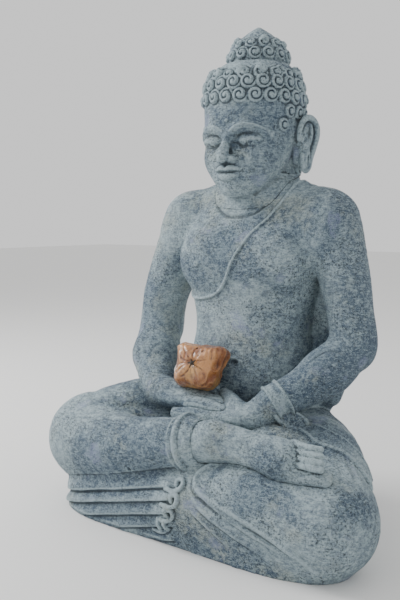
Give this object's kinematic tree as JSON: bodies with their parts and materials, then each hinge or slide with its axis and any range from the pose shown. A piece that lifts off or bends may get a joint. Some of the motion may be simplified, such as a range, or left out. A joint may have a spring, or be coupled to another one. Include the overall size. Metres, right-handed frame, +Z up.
{
  "type": "seated buddha statue",
  "caption": "Stone figure seated cross-legged in meditation with one hand on the other, a robe over the left shoulder and a loose dried fruit resting on the palms.",
  "frame": {"origin": "on the flat underside, straight below the neck", "axes": "+Z up; -Y is where the statue looks; +X is the statue's own left"},
  "size_m": [0.7632, 0.4525, 1],
  "materials": {
    "stone": "weathered blue-grey with a pale wash, carved and finely pitted",
    "mortar": "lime mortar",
    "dowel": "plain drawn bar",
    "rind": "dried glossy wrinkled rind",
    "sepals": "dry and dark"
  },
  "bodies": {
    "statue": {"legs_block": "stone", "torso": "stone", "head": "stone", "topknot": "stone", "left_arm": "stone", "right_arm": "stone", "left_hand": "stone", "right_hand": "stone", "right_foot": "stone", "waist_mortar": "mortar", "neck_mortar": "mortar", "topknot_mortar": "mortar", "shoulder_mortar_left": "mortar", "shoulder_mortar_right": "mortar", "waist_dowel_left": "dowel", "waist_dowel_right": "dowel", "neck_dowel": "dowel", "topknot_dowel": "dowel", "ankle_dowel": "dowel", "shoulder_dowel_left": "dowel", "wrist_dowel_left": "dowel", "shoulder_dowel_right": "dowel", "wrist_dowel_right": "dowel"},
    "fruit": {"offering_fruit": "rind", "fruit_sepals": "sepals"}
  },
  "joints": [
    {"name": "fruit_lift", "type": "slide", "parent": "statue", "child": "fruit", "axis": [0, -0.6, 0.8], "range_m": [0, 0.3]}
  ]
}
